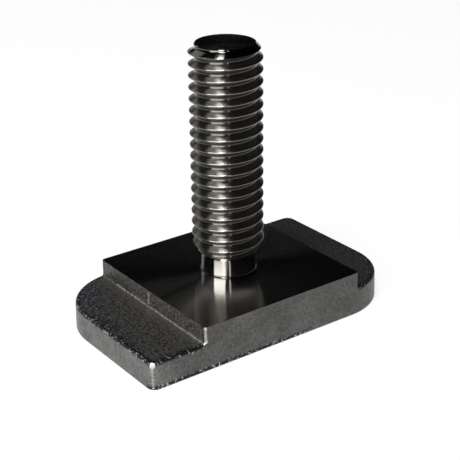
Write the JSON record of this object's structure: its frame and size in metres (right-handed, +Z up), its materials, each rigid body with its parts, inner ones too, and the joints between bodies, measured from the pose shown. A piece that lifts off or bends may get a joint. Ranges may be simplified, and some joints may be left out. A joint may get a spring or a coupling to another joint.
{
  "type": "t slot bolt",
  "caption": "Forged slot head with a raised guide block, two clamping shelves and swing corners, carrying a threaded stud with an undercut neck.",
  "frame": {"origin": "middle of the head's underside, on the stud's axis", "axes": "+X along the head's long side, +Y across the head, +Z up the stud towards its free end; the two swing corners are at (-X, +Y) and (+X, -Y)"},
  "size_m": [0.0336, 0.0202, 0.0303],
  "materials": {
    "steel": "bright machined block top and stud, blasted forged sides and shelves"
  },
  "bodies": {
    "root": {"t_slot_bolt": "steel"}
  },
  "joints": []
}
